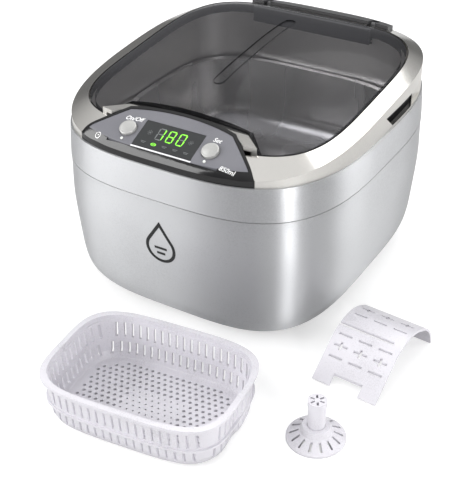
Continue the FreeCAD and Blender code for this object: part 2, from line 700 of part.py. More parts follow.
def lid_channel():
    """Rounded moulded groove along the lid's centre line."""
    r = S.channel_width / 2
    y0, y1 = S.channel_front, S.channel_rear
    bar = block(-r, r, y0 + r, y1 - r, 100, 170)
    ends = [Part.makeCylinder(r, 70, Vector(0, y, 100)) for y in (y0 + r, y1 - r)]
    return bar.fuse(ends).common(lid_under(-20, 20 + S.channel_depth))


def lid_window():
    shell = lid_plan(0, 100, 170).common(lid_under(0, 60)).common(above_basin(-S.lid_skirt))
    inner = lid_plan(S.lid_thickness, 99, 171).common(lid_under(S.lid_thickness, 60))
    return shaped("lid_window", shell.cut([inner, lid_channel()]))


def lid_hinge():
    """Strip inside the lid's rear edge with two arms that reach the hinge pins."""
    y_out = S.basin_half_y - S.lid_rear_gap - S.lid_thickness - 1.3
    z_top = basin_z(0, y_out) + 0.5
    z_low = S.hinge_z - 5
    strip = block(-S.hinge_x - 4, S.hinge_x + 4, y_out - 2.4, y_out, z_low, z_top)
    half = S.arm_width / 2
    arm_top = basin_z(0, y_out) - S.lid_skirt - 0.4
    arm = block(S.hinge_x - half, S.hinge_x + half, y_out - 2.4, S.hinge_y, z_low, arm_top)
    knuckle = Part.makeCylinder(S.knuckle_radius, S.arm_width,
                                Vector(S.hinge_x - half, S.hinge_y, S.hinge_z), Vector(1, 0, 0))
    arms = mirrored(arm.fuse(knuckle))
    return shaped("lid_hinge", strip.fuse(arms).cut(pin_rods(S.pin_radius + S.pin_clearance, 2)))


def hinge_cover():
    low = S.hinge_z - COVER_DROP
    cap = cover_plan(0, low, 160).common(rim_solid(-1, -S.hinge_cover_rise, -3))
    inner = cover_plan(-COVER_WALL, low - 1, 160).common(cover_room(0))
    return shaped("hinge_cover", cap.cut([inner, hinge_slots(0.6)]))


def lid_rests():
    """Two soft pads on the shelf's rear wall that carry the lid's front edge."""
    reach = S.surround_edge + S.shelf_width
    wall_y = S.panel_top_y + reach
    z_top = basin_z(0, wall_y) - S.lid_skirt - S.fit_gap
    pads = mirrored(block(6, 12, wall_y - 2, wall_y + 3.4, z_top - 4, z_top))
    return shaped("lid_rests", pads.cut(panel_plan(reach + 0.05, 90, 150)))


# ---------------------------------------------------------------- electronics and transducer

def electronics():
    top = "sizes.pcb_height + sizes.board_thickness"
    board = box("main_board", "sizes.pcb_length", "sizes.pcb_width", "sizes.board_thickness",
                "-sizes.pcb_length / 2", "sizes.pcb_y - sizes.pcb_width / 2", "sizes.pcb_height")
    keep(board, "main_board")
    left, front = "4 - sizes.pcb_length / 2", "sizes.pcb_y - sizes.pcb_width / 2"
    core = box("transformer_core", "22", "19", "9", left, f"{front} + 3", top)
    coil = rod("transformer_coil", "9.5", "17", f"{left} + 11", f"{front} + 12.5", top)
    keep(fused("transformer", [core, coil]), "transformer")
    can_x = "sizes.pcb_length / 2 - sizes.capacitor_radius - 3"
    sink_x, sink_y = f"{can_x} - sizes.capacitor_radius - 15", "sizes.pcb_y - (sizes.pcb_width - 16) / 2"
    plate = box("sink_plate", "3", "sizes.pcb_width - 16", "16", sink_x, sink_y, top)
    fins = [box(f"sink_fin_{i}", "9", "1.4", "16", f"{sink_x} + 2.5",
                f"{sink_y} + {i} * (sizes.pcb_width - 17.4) / 5", top) for i in range(6)]
    keep(fused("heat_sink", [plate] + fins), "heat_sink")
    switch = box("power_transistor", "4", "10", "14", f"{sink_x} - 4.1", "sizes.pcb_y - 5", top)
    keep(switch, "power_transistor")
    cans = [rod(f"capacitor_{i}", "sizes.capacitor_radius", "14", can_x,
                f"sizes.pcb_y + {i - 1} * (2 * sizes.capacitor_radius + 0.8)", top)
            for i in range(3)]
    keep(fused("capacitors", cans), "capacitors")
    fuse = rod("fuse", "2.6", "18", f"{left} + 8.5", "sizes.pcb_rear - 6", f"{top} + 2.6",
               Rotation(Vector(0, 1, 0), 90))
    keep(fuse, "fuse")


INLET_FACE, PIN_X = HALF_Y - 3.5 + S.inlet_proud, 4.3


def transducer():
    top = "sizes.deck_height + sizes.gasket_thickness - sizes.tank_depth"
    y = "sizes.tank_y"
    mass_low = f"{top} - sizes.front_mass_height"
    front = rod("front_mass", "sizes.front_mass_radius", "sizes.front_mass_height", "0", y, mass_low)
    keep(front, "transducer_front_mass")
    piezo_low = f"{mass_low} - 2 * sizes.piezo_height"
    rings = rod("ring_pack", "sizes.piezo_radius", "2 * sizes.piezo_height", "0", y, piezo_low)
    hole = rod("ring_hole", "4.5", "2 * sizes.piezo_height + 2", "0", y, f"{piezo_low} - 1")
    keep(cut("piezo_rings", rings, hole), "piezo_rings")
    back_low = f"{piezo_low} - sizes.back_mass_height"
    back = rod("back_block", "sizes.back_mass_radius", "sizes.back_mass_height", "0", y, back_low)
    back_hole = rod("back_hole", "4", "sizes.back_mass_height + 2", "0", y, f"{back_low} - 1")
    keep(cut("transducer_back_mass", back, back_hole), "transducer_back_mass")
    shank = rod("bolt_shank", "3.8", "sizes.back_mass_height + 2 * sizes.piezo_height",
                "0", y, back_low)
    head = bound("Prism", "bolt_head", None, Polygon="6", Circumradius="7", Height="4",
                 x="0", y=y, z=f"{back_low} - 4")
    keep(fused("transducer_bolt", [shank, head]), "transducer_bolt")


def power_inlet():
    """Two-pole socket whose flange follows the shell, and its pins."""
    half_l, half_w = S.inlet_length / 2 - S.fit_gap, S.inlet_width / 2 - S.fit_gap
    z, y_face = S.inlet_height, INLET_FACE
    body = block(-half_l, half_l, y_face - 18, y_face, z - half_w, z + half_w)
    flange = block(-half_l - 3, half_l + 3, y_face - 12, y_face + 2, z - half_w - 3, z + half_w + 3)
    flange = flange.cut(housing_solid(FLOOR + 6, z + S.inlet_width + 12, -0.05))
    sink = block(-6.6, 6.6, y_face - 12, y_face + 3, z - 3.4, z + 3.4)
    ends = [Part.makeCylinder(3.4, 15, Vector(x, y_face - 12, z), Vector(0, 1, 0))
            for x in (-6.6, 6.6)]
    shell = body.fuse(flange).cut([sink] + ends)
    shaped("power_inlet", shell)
    pins = [Part.makeCylinder(1.2, 18, Vector(x, y_face - 21, z), Vector(0, 1, 0))
            for x in (-PIN_X, PIN_X)]
    shaped("inlet_pins", Part.makeCompound(pins))


# ---------------------------------------------------------------- accessories

def basket():
    """Open perforated tray with a flanged rim and a rib halfway up its wall."""
    half_x, half_y = S.basket_half_x, S.basket_half_y
    height, wall, power = S.basket_height, S.basket_wall, S.basket_power

    def tray(inward, low, high):
        stages = ((0, S.basket_taper + 5), (2, S.basket_taper + 1.5), (6, S.basket_taper),
                  (height, 1.6))
        wires = [oval(half_x - inset - inward, half_y - inset - inward, power, z, count=20)
                 for z, inset in stages]
        return Part.makeLoft(wires, True, True).common(block(-99, 99, -99, 99, low, high))

    body = tray(0, 0, height)
    rim = plan_oval(half_x, half_y, power, height - S.basket_rim, height)
    rib = plan_oval(half_x - 1.8, half_y - 1.8, power, 12.6, 13.8)
    body = body.fuse([rim, rib]).cut(tray(wall, wall, height + 1))
    body = body.cut(plan_oval(half_x - 3.2, half_y - 3.2, power, height - 3, height + 1))
    cutters = []
    for low, high, shift in ((4, 11.6, 0.0), (15, 24.5, 0.5)):
        for i in range(-9, 10):
            x = (i + shift) * 4.6
            cutters.append(block(x - 0.75, x + 0.75, -60, 60, low, high))
        for i in range(-5, 6):
            y = (i + shift) * 4.6
            cutters.append(block(-70, 70, y - 0.75, y + 0.75, low, high))
    body = body.cut(cutters)
    holes = []
    for i in range(-11, 12):
        for j in range(-7, 8):
            x, y = i * 3.9 + (j % 2) * 1.95, j * 3.7
            inner = abs(x) < 17 and abs(y) < 11
            if (abs(x) / 44) ** 4 + (abs(y) / 28) ** 4 < 1:
                holes.append(Part.makeCylinder(0.55 if inner else 1.0, wall + 4, Vector(x, y, -2)))
    place = Placement(Vector(S.basket_x, S.basket_y, 0), Rotation(UP, S.basket_turn))
    return shaped("basket", body.cut(holes), place)


def watch_stand():
    """Bent strip with a slit tongue, slots, crosses and a notched front edge."""
    foot, knee = Vector(0, 0, 0), Vector(0, 22, 17.6)
    crown, shoulder = Vector(0, 37, 21.8), Vector(0, 53, 17.2)
    bend, heel = Vector(0, 62.5, 9.6), Vector(0, 66, 0)
    edges = [Part.LineSegment(foot, knee).toShape(), Part.Arc(knee, crown, shoulder).toShape(),
             Part.Arc(shoulder, bend, heel).toShape()]
    width = S.stand_width
    profile = Part.Wire(edges).makeOffset2D(-S.stand_thickness, fill=True, openResult=True)
    sheet = profile.extrude(Vector(width, 0, 0))
    sheet = sheet.common(block(-1, width + 1, -9, 90, 0, 60))
    low, high = -5, 40
    cutters = [block(-1, width * 0.86, 27.5, 29.3, low, high),
               block(11, 29, -5, 5, low, high)]
    for column in (7.5, 20, 32.5):
        for row, cross in ((11.5, False), (17, True), (22.5, False), (39, False), (48, True)):
            cutters.append(block(column - 4.2, column + 4.2, row - 0.6, row + 0.6, low, high))
            if cross:
                cutters.append(block(column - 0.7, column + 0.7, row - 2, row + 2, low, high))
    solid = sheet.cut(cutters)
    place = Placement(Vector(S.stand_x, S.stand_y, 0), Rotation(UP, S.stand_turn))
    return shaped("watch_stand", solid, place)


def disc_holder():
    """Flared slotted foot with a collar, and a hollow post with a petalled tip."""
    r, post = S.holder_radius, S.post_radius
    bore = post + S.post_fit
    outline = [(bore, 2), (r - 1.6, 0), (r, 0), (r, 1.1), (8.4, 5.2), (7.4, 9), (bore, 9)]
    points = [Vector(x, 0, z) for x, z in outline]
    foot = Part.Face(Part.makePolygon(points + points[:1])).revolve(Vector(), UP, 360)
    under_cut = [Vector(x, 0, z) for x, z in ((post + 1.6, -1), (r - 1.8, -1), (8.6, 3.8),
                                              (post + 1.6, 4.4))]
    dish = Part.Face(Part.makePolygon(under_cut + under_cut[:1])).revolve(Vector(), UP, 360)
    slots = []
    for i in range(14):
        slot = block(9.2, r - 1.9, -0.65, 0.65, -1, 9)
        slot.rotate(Vector(), UP, 360 * i / 14)
        slots.append(slot)
    place = Placement(Vector(S.holder_x, S.holder_y, 0), Rotation())
    shaped("disc_holder_foot", foot.cut([dish] + slots), place)
    tube = Part.makeCylinder(post, S.post_height)
    tip = Part.makeCylinder(post + 0.4, 3.4, Vector(0, 0, S.post_height - 3.4))
    bore = Part.makeCylinder(post - 1.3, S.post_height - 2, Vector(0, 0, -1))
    petals = []
    for i in range(6):
        petal = block(1.6, post - 0.6, -0.55, 0.55, S.post_height - 4, S.post_height + 1)
        petal.rotate(Vector(), UP, 60 * i)
        petals.append(petal)
    shaped("disc_holder_post", tube.fuse(tip).cut([bore] + petals), place)


def leads():
    """Insulated wires inside the base, as one node per run."""
    z_board = S.pcb_height + S.board_thickness
    piezo_z = S.tank_floor - S.front_mass_height - S.piezo_height
    x, r = 2.4, 0.9
    y_ring = S.tank_y - math.sqrt(S.piezo_radius ** 2 - (x - r) ** 2) - 0.05
    shaped("transducer_leads", Part.makeCompound([
        tube_path([(side * x, S.pcb_rear - 4, z_board), (side * x, S.pcb_rear - 4, piezo_z),
                   (side * x, y_ring, piezo_z)], r, 1.8) for side in (-1, 1)]))
    inlet_y, far = INLET_FACE - 21, S.pcb_length / 2 - 8.4
    shaped("mains_leads", Part.makeCompound([
        tube_path([(side * PIN_X, inlet_y, S.inlet_height), (side * PIN_X, inlet_y - 8, S.inlet_height),
                   (side * PIN_X, inlet_y - 14, 12), (side * far, S.tank_y + 20, 12),
                   (side * far, S.pcb_rear + 8, 21), (side * far, S.pcb_rear - 6, 21),
                   (side * far, S.pcb_rear - 6, z_board)], 1.1, 1.4)
        for side in (-1, 1)]))


# ---------------------------------------------------------------- build

for make in (lower_housing, upper_housing, base_cover, rubber_feet, base_screws, top_frame,
             tank, tank_gasket, control_panel, panel_surround, display_parts, lid_window,
             lid_hinge, hinge_cover, lid_rests, electronics, transducer, power_inlet,
             basket, watch_stand, disc_holder, leads):
    make()
for side, label in ((-1, "left_grip_liner"), (1, "right_grip_liner")):
    grip_liner(side, label)
shaped("hinge_pins", pin_rods(S.pin_radius))
DOC.recompute()

for obj in DOC.Objects:
    faults = {"Invalid", "Error"} & set(obj.State)
    if faults:
        raise RuntimeError(f"{obj.Label} failed to build: {sorted(faults)}")
os.makedirs("parts", exist_ok=True)
for obj in PARTS:
    if obj.Shape.isNull() or not obj.Shape.isValid():
        raise RuntimeError(f"{obj.Label} has no valid shape")
for obj in PARTS:
    obj.Shape.exportStep(f"parts/{obj.Label}.step")
    print(obj.Label, len(obj.Shape.Solids), round(obj.Shape.Volume / 1000, 2), "cm3")
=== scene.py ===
"""Looks of a bench-top ultrasonic cleaner with its basket, watch stand and disc holder.

Lengths in comments are millimetres. The front of the cleaner faces -Y.
"""

import json
import math

import bmesh
import bpy
from mathutils import Matrix, Vector
from mathutils.bvhtree import BVHTree


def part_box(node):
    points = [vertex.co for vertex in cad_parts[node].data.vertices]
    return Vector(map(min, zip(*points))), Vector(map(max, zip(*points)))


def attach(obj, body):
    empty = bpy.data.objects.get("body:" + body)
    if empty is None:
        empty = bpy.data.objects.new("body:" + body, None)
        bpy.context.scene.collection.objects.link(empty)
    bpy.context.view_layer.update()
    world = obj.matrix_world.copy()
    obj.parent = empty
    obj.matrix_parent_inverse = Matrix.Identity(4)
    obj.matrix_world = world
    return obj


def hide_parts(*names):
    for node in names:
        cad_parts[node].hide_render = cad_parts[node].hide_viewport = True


bl_info = {
    "name": "Ultrasonic Cleaner",
    "version": (1, 0, 0),
    "blender": (4, 5, 0),
    "location": "View3D > Sidebar > Cleaner",
    "description": "Dresses the packed frame of a jewellery cleaner and sets its studio",
    "category": "Object",
}

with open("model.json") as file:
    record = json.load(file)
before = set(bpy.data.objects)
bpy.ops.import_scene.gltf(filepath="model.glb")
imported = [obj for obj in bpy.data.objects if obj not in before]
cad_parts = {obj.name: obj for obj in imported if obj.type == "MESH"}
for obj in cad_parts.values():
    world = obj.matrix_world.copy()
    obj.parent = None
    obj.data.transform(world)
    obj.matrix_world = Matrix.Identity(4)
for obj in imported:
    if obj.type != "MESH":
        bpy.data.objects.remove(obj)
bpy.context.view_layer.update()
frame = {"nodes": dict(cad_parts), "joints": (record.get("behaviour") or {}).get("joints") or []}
MM = 0.001


def linear(code):
    """Linear RGB of an sRGB hex value."""
    channels = [int(code[i:i + 2], 16) / 255 for i in (0, 2, 4)]
    return tuple(c / 12.92 if c <= 0.04045 else ((c + 0.055) / 1.055) ** 2.4 for c in channels)


def rgb(colour):
    """Linear RGB of a colour property, or of a hex value."""
    return linear(colour) if isinstance(colour, str) else tuple(colour)


def rgba(colour):
    """The same as a shader socket wants it."""
    return (*rgb(colour), 1.0)


# ---------------------------------------------------------------- settings

def colour_property(name, description, code):
    return bpy.props.FloatVectorProperty(name=name, description=description, subtype="COLOR",
                                         size=3, min=0, max=1, default=linear(code))


def length_property(name, description, millimetres):
    return bpy.props.FloatProperty(name=name, description=description, unit="LENGTH",
                                   default=millimetres * MM, min=0)


def angle_property(name, description, degrees):
    return bpy.props.FloatProperty(name=name, description=description, subtype="ANGLE",
                                   default=math.radians(degrees))


class CleanerColours(bpy.types.PropertyGroup):
    shell: colour_property("Shell", "Silver lacquer of the housing", "BCBDBF")
    rim: colour_property("Rim", "Plated top frame", "D8D6D2")
    film: colour_property("Panel film", "Printed film on the control panel", "6F6F75")
    keys: colour_property("Keys", "Lacquer of the two keys", "B4B4B2")
    trim: colour_property("Trim", "Glossy surround of the panel", "08080A")
    digits: colour_property("Digits", "Lit display segments", "7FE23A")
    lid: colour_property("Lid tint", "Light that one face of the smoked lid lets through", "E2E2E4")
    steel: colour_property("Tank steel", "Stainless steel of the tank", "C9C8C6")
    accessories: colour_property("Accessories", "White polypropylene", "CFCDD3")


class CleanerSizes(bpy.types.PropertyGroup):
    emblem: length_property("Emblem height", "Height of the drop on the front", 28)
    ink: length_property("Ink thickness", "How far printed marks stand proud", 0.05)
    digit_height: length_property("Digit height", "Height of a display digit", 8.6)
    digit_pitch: length_property("Digit pitch", "Distance between display digits", 6.8)
    key_radius: length_property("Key radius", "Radius of a key's cap", 5)
    key_rise: length_property("Key rise", "Height of a key's cap above the film", 1.6)


class CleanerStage(bpy.types.PropertyGroup):
    azimuth: angle_property("Azimuth", "Camera's turn round the cleaner", 31.336)
    elevation: angle_property("Elevation", "Camera's height above the horizon", 33.244)
    roll: angle_property("Roll", "Camera's turn about its own line of sight", -0.664)
    distance: length_property("Distance", "From the camera to the point it looks at", 707.89)
    lens: bpy.props.FloatProperty(name="Lens", description="Focal length on a 36 mm sensor",
                                  default=79.26, unit="CAMERA", min=1)
    floor_radius: length_property("Floor", "Half size of the pale floor", 1600)


def settings():
    return bpy.context.scene.cleaner_colours, bpy.context.scene.cleaner_sizes


# ---------------------------------------------------------------- materials

def add(tree, kind, inputs=None, **choices):
    """Add a shader node with its choices, and set or link its inputs."""
    node = tree.nodes.new("ShaderNode" + kind)
    for name, value in choices.items():
        setattr(node, name, value)
    for key, value in (inputs or {}).items():
        if isinstance(value, bpy.types.NodeSocket):
            tree.links.new(value, node.inputs[key])
        else:
            node.inputs[key].default_value = value
    return node


def begin(name, **sockets):
    """A new material and its one Principled shader, with plain values on its sockets."""
    material = bpy.data.materials.new(name)
    material.use_nodes = True
    tree = material.node_tree
    shader = tree.nodes["Principled BSDF"]
    for key, value in sockets.items():
        shader.inputs[key.replace("_", " ")].default_value = value
    return material, tree, shader


def texture(material, pitch, depth, colours=None, gloss=None, stretch=(1, 1, 1), broad=30):
    """Give a material its fine surface and its slow changes.

    pitch and depth are the grain's size and height in mm, colours a pair that the grain
    mixes, gloss the least and most roughness, and broad the size of the slow changes.
    """
    tree = material.node_tree
    shader = tree.nodes["Principled BSDF"]
    place = add(tree, "TexCoord").outputs["Object"]
    if stretch != (1, 1, 1):
        place = add(tree, "Mapping", {"Vector": place, "Scale": stretch}).outputs[0]
    grain = add(tree, "TexNoise", {"Vector": place, "Scale": 1 / (pitch * MM), "Detail": 2.0,
                                   "Roughness": 0.5})
    slow = add(tree, "TexNoise", {"Vector": place, "Scale": 1 / (broad * MM), "Detail": 3.0})
    if depth:
        bump = add(tree, "Bump", {"Height": grain.outputs[0], "Distance": depth * MM,
                                  "Strength": 1.0})
        tree.links.new(bump.outputs[0], shader.inputs["Normal"])
    if colours:
        both = add(tree, "Math", {0: grain.outputs[0], 1: slow.outputs[0]}, operation="ADD")
        ramp = add(tree, "ValToRGB", {0: both.outputs[0]})
        low, high = ramp.color_ramp.elements
        low.position, high.position = 0.75, 1.25
        low.color, high.color = rgba(colours[0]), rgba(colours[1])
        tree.links.new(ramp.outputs[0], shader.inputs["Base Color"])
    if gloss:
        spread = add(tree, "MapRange", {0: slow.outputs[0], 1: 0.3, 2: 0.7,
                                        3: gloss[0], 4: gloss[1]})
        tree.links.new(spread.outputs[0], shader.inputs["Roughness"])
    return material


def shade(colour, factor):
    """A linear colour made a little darker or lighter."""
    return tuple(min(c * factor, 1.0) for c in colour)


def silver_lacquer(colour):
    """ABS sprayed with aluminium-flake lacquer, whose sheen runs in upright bands.

    The spray gun passes round the shell, so the flakes lie flatter across it than up it.
    They are about 0.05 across and are drawn at 0.9, so that they show.
    """
    material, tree, shader = begin("Silver Flake Lacquer on ABS", Metallic=0.85, Coat_Weight=0.1,
                                   Coat_Roughness=0.3, Anisotropic=0.85,
                                   Anisotropic_Rotation=0.25)
    around = add(tree, "Tangent", direction_type="RADIAL", axis="Z")
    tree.links.new(around.outputs[0], shader.inputs["Tangent"])
    return texture(material, 0.9, 0.0008, (shade(colour, 0.96), shade(colour, 1.04)),
                   (0.46, 0.5), broad=60)


def plated_rim(colour):
    """Vacuum-plated ABS: mirror-like where it faces up, satin on its upright side."""
    material, tree, shader = begin("Plated ABS Rim", Metallic=1.0, Base_Color=rgba(colour))
    texture(material, 1.2, 0.0006, (shade(colour, 0.97), shade(colour, 1.02)), broad=45)
    facing = add(tree, "SeparateXYZ", {0: add(tree, "NewGeometry").outputs["True Normal"]})
    gloss = add(tree, "MapRange", {0: facing.outputs[2], 1: 0.35, 2: 0.6, 3: 0.36, 4: 0.14})
    tree.links.new(gloss.outputs[0], shader.inputs["Roughness"])
    return material


def panel_film(colour):
    """Reverse-printed polycarbonate film: even grey with a fine velvet grain."""
    material, _, _ = begin("Printed Polycarbonate Film", IOR=1.585, Specular_IOR_Level=0.45)
    return texture(material, 0.5, 0.003, (shade(colour, 0.93), shade(colour, 1.07)), (0.3, 0.4),
                   broad=22)


def moulded(name, code, roughness, pitch=0.4, depth=0.01, **more):
    """Injection-moulded plastic or rubber with the grain of its spark-eroded mould."""
    colour = rgb(code)
    material, _, _ = begin(name, **more)
    return texture(material, pitch, depth, (shade(colour, 0.92), shade(colour, 1.08)),
                   (roughness - 0.04, roughness + 0.06))


def metal(name, code, roughness, pitch=0.5, depth=0.004, stretch=(1, 1, 1)):
    """Bare metal with the lines or peening that its making leaves."""
    colour = rgb(code)
    material, _, _ = begin(name, Metallic=1.0)
    return texture(material, pitch, depth, (shade(colour, 0.94), shade(colour, 1.05)),
                   (roughness - 0.04, roughness + 0.06), stretch)


def smoked_lid(tint):
    """Smoke-tinted polycarbonate, 2.4 thick: what is behind shows dimmed, under a clear gloss."""
    material, tree, shader = begin("Smoked Polycarbonate", Base_Color=rgba("6C6C70"),
                                   Roughness=0.05, IOR=1.585)
    output = tree.nodes["Material Output"]
    # Along the upright skirt the eye looks through far more plastic, so it goes nearly black.
    facing = add(tree, "SeparateXYZ", {0: add(tree, "TexCoord").outputs["Normal"]})
    level = add(tree, "Math", {0: facing.outputs[2]}, operation="ABSOLUTE")
    depth = add(tree, "MapRange", {0: level.outputs[0], 1: 0.25, 2: 0.6})
    passed = add(tree, "Mix", {0: depth.outputs[0], 6: rgba("4A4A4C"), 7: rgba(tint)},
                 data_type="RGBA")
    clear = add(tree, "BsdfTransparent", {"Color": passed.outputs[2]})
    # Only the face that light enters by mirrors the room.
    edge = add(tree, "LayerWeight", {"Blend": 0.32})
    share = add(tree, "MapRange", {0: edge.outputs["Fresnel"], 1: 0.0, 2: 1.0, 3: 0.05, 4: 1.0})
    inner = add(tree, "NewGeometry").outputs["Backfacing"]
    outer = add(tree, "Math", {0: 1.0, 1: inner}, operation="SUBTRACT")
    gloss = add(tree, "Math", {0: share.outputs[0], 1: outer.outputs[0]}, operation="MULTIPLY")
    mix = add(tree, "MixShader", {0: gloss.outputs[0], 1: clear.outputs[0], 2: shader.outputs[0]})
    tree.links.new(mix.outputs[0], output.inputs["Surface"])
    return material


def lit_segment(colour, strength):
    """Light-emitting segment seen through the dark window: an even glow with no highlight."""
    material, _, _ = begin("Lit Display Segment", Base_Color=rgba(colour), Roughness=0.4,
                           Emission_Color=rgba(colour), Emission_Strength=strength)
    return texture(material, 0.5, 0.001, (shade(colour, 0.85), shade(colour, 1.0)), broad=4)


def matt_floor():
    """Back-lit opal board: white all over, so that only faint shadows stay."""
    material, tree, shader = begin("Opal Light Table", Specular_IOR_Level=0.1,
                                   Emission_Color=rgba("FFFFFF"))
    seen = add(tree, "LightPath").outputs["Is Camera Ray"]
    glow = add(tree, "Math", {0: seen, 1: 0.5}, operation="MULTIPLY")
    tree.links.new(glow.outputs[0], shader.inputs["Emission Strength"])
    return texture(material, 3, 0.0, ("CACACA", "CDCDCD"), (0.85, 0.95), broad=400)


# ---------------------------------------------------------------- making pieces

def dress(names, material):
    """Give CAD nodes a finish."""
    for name in names:
        slots = frame["nodes"][name].data.materials
        slots.clear()
        slots.append(material)


def piece(name, bm, material, body, stands_for=(), sharp=35):
    """Finish a bmesh as one named piece that rides on a body."""
    mesh = bpy.data.meshes.new(name)
    bm.to_mesh(mesh)
    bm.free()
    mesh.materials.append(material)
    mesh.shade_smooth()
    mesh.set_sharp_from_angle(angle=math.radians(sharp))
    obj = bpy.data.objects.new(name, mesh)
    bpy.context.scene.collection.objects.link(obj)
    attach(obj, body)
    if stands_for:
        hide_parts(*stands_for)
    return obj


def turned(profile, steps=64, bm=None, place=Matrix.Identity(4)):
    """Closed round shape: a profile of radius and height, in mm, spun about Z."""
    bm = bm or bmesh.new()
    old = set(bm.verts)
    line = [bm.verts.new((r * MM, 0, z * MM)) for r, z in profile]
    edges = [bm.edges.new(pair) for pair in zip(line, line[1:])]
    bmesh.ops.spin(bm, geom=line + edges, cent=(0, 0, 0), axis=(0, 0, 1), dvec=(0, 0, 0),
                   angle=2 * math.pi, steps=steps, use_merge=True)
    new = [v for v in bm.verts if v not in old]
    bmesh.ops.remove_doubles(bm, verts=new, dist=0.001 * MM)
    new = [v for v in bm.verts if v not in old]
    bmesh.ops.recalc_face_normals(bm, faces=bm.faces)
    bmesh.ops.transform(bm, matrix=place, verts=new)
    return bm


def panel_plane():
    """Matrix of the control panel's face: X across, Y up the slope, Z out of it."""
    press = next(j for j in frame["joints"] if j["name"] == "on_off_press")
    out = -Vector(press["axis"])
    low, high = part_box("display_window")
    half_window = 0.9 * MM
    slope = Vector((0, out.z, -out.y))
    turn = Matrix((Vector((1, 0, 0)), slope, out)).transposed().to_4x4()
    return Matrix.Translation((low + high) / 2 + out * half_window) @ turn


def surface_of(*nodes):
    """Ray-castable surface of some CAD nodes."""
    verts, faces = [], []
    for node in nodes:
        mesh = frame["nodes"][node].data
        first = len(verts)
        verts += [v.co.copy() for v in mesh.vertices]
        faces += [[first + i for i in p.vertices] for p in mesh.polygons]
    return BVHTree.FromPolygons(verts, faces)


def printed(bm, place, target, lift, reach=30 * MM):
    """Lay a flat drawing on a surface, along -Z of its place, and give it a little thickness."""
    out = place.to_3x3() @ Vector((0, 0, 1))
    bmesh.ops.transform(bm, matrix=place, verts=bm.verts)
    for v in bm.verts:
        hit = target.ray_cast(v.co + out * reach, -out)[0]
        if hit is None:
            raise RuntimeError("a printed mark misses its surface")
        v.co = hit + out * lift
    bmesh.ops.recalc_face_normals(bm, faces=bm.faces)
    for face in bm.faces:
        if face.normal.dot(out) < 0:
            face.normal_flip()
    raised = bmesh.ops.extrude_face_region(bm, geom=list(bm.faces))["geom"]
    tops = [g for g in raised if isinstance(g, bmesh.types.BMVert)]
    bmesh.ops.translate(bm, vec=out * lift, verts=tops)
    bmesh.ops.recalc_face_normals(bm, faces=bm.faces)
    return bm


def stamp(bm, add_shape, place):
    """Add a flat shape to a drawing at a place in its plane."""
    old = set(bm.verts)
    add_shape(bm)
    new = [v for v in bm.verts if v not in old]
    bmesh.ops.transform(bm, matrix=place, verts=new)


def at(x, y, turn=0.0, width=1.0, height=1.0):
    """Place in a drawing's plane, in mm, with a turn in degrees and two scales."""
    return (Matrix.Translation((x * MM, y * MM, 0)) @ Matrix.Rotation(math.radians(turn), 4, "Z")
            @ Matrix.Diagonal((width, height, 1, 1)))


def bar(length, width):
    """Rectangle that stamp() can add."""
    def shape(bm):
        sized = Matrix.Diagonal((length * MM, width * MM, 1, 1))
        bmesh.ops.create_grid(bm, x_segments=max(1, int(length / 3)), y_segments=1, size=0.5,
                              matrix=sized)
    return shape


def disc(radius, corners=24):
    """Filled circle that stamp() can add."""
    def shape(bm):
        bmesh.ops.create_circle(bm, cap_ends=True, segments=corners, radius=radius * MM)
    return shape


def hoop(radius, stroke, corners=40):
    """Flat ring that stamp() can add."""
    def shape(bm):
        old = set(bm.faces)
        bmesh.ops.create_circle(bm, cap_ends=True, segments=corners, radius=radius * MM)
        face = [f for f in bm.faces if f not in old]
        bmesh.ops.inset_region(bm, faces=face, thickness=stroke * MM, use_even_offset=True,
                               use_boundary=True)
        bmesh.ops.delete(bm, geom=face, context="FACES")
    return shape


def lettering(text, size, slant=0.0):
    """Generic word or number that stamp() can add, as a mesh centred on its middle."""
    def shape(bm):
        curve = bpy.data.curves.new("lettering", "FONT")
        curve.body, curve.size, curve.shear = text, size * MM, slant
        curve.align_x, curve.align_y = "CENTER", "CENTER"
        curve.offset = 0.012 * size * MM
        holder = bpy.data.objects.new("lettering", curve)
        bpy.context.scene.collection.objects.link(holder)
        bpy.context.view_layer.update()
        mesh = bpy.data.meshes.new_from_object(
            holder.evaluated_get(bpy.context.evaluated_depsgraph_get()))
        bm.from_mesh(mesh)
        bpy.data.objects.remove(holder)
        bpy.data.curves.remove(curve)
        bpy.data.meshes.remove(mesh)
        bmesh.ops.remove_doubles(bm, verts=bm.verts, dist=0.002 * MM)
    return shape


# ---------------------------------------------------------------- operators

class PieceOperator(bpy.types.Operator):
    """Shared registration options of the cleaner's operators."""

    bl_options = {"REGISTER", "UNDO"}


class CLEANER_OT_housing(PieceOperator):
    """Dress the housing, its plated frame, the panel's surround and the black fittings"""

    bl_idname = "cleaner.housing"
    bl_label = "Housing"

    def execute(self, context):
        colours, _ = settings()
        dress(("lower_housing", "upper_housing"), silver_lacquer(colours.shell))
        dress(("top_frame",), plated_rim(colours.rim))
        # High-gloss black ABS, as moulded against a polished mould: deep and mirror-like.
        gloss = moulded("High-Gloss Black ABS", colours.trim, 0.1, 6, 0.001, IOR=1.53)
        dress(("panel_surround",), gloss)
        black = moulded("Grained Black ABS", "161617", 0.5)
        dress(("left_grip_liner", "right_grip_liner", "base_cover"), black)
        dress(("hinge_cover", "lid_hinge"), moulded("Satin Grey ABS", "3A3A3C", 0.34))
        dress(("hinge_pins",), metal("Turned Steel Pin", "B5B5B5", 0.25))
        dress(("lid_rests",), moulded("Soft Silicone Pad", "2A2A2A", 0.7))
        return {"FINISHED"}


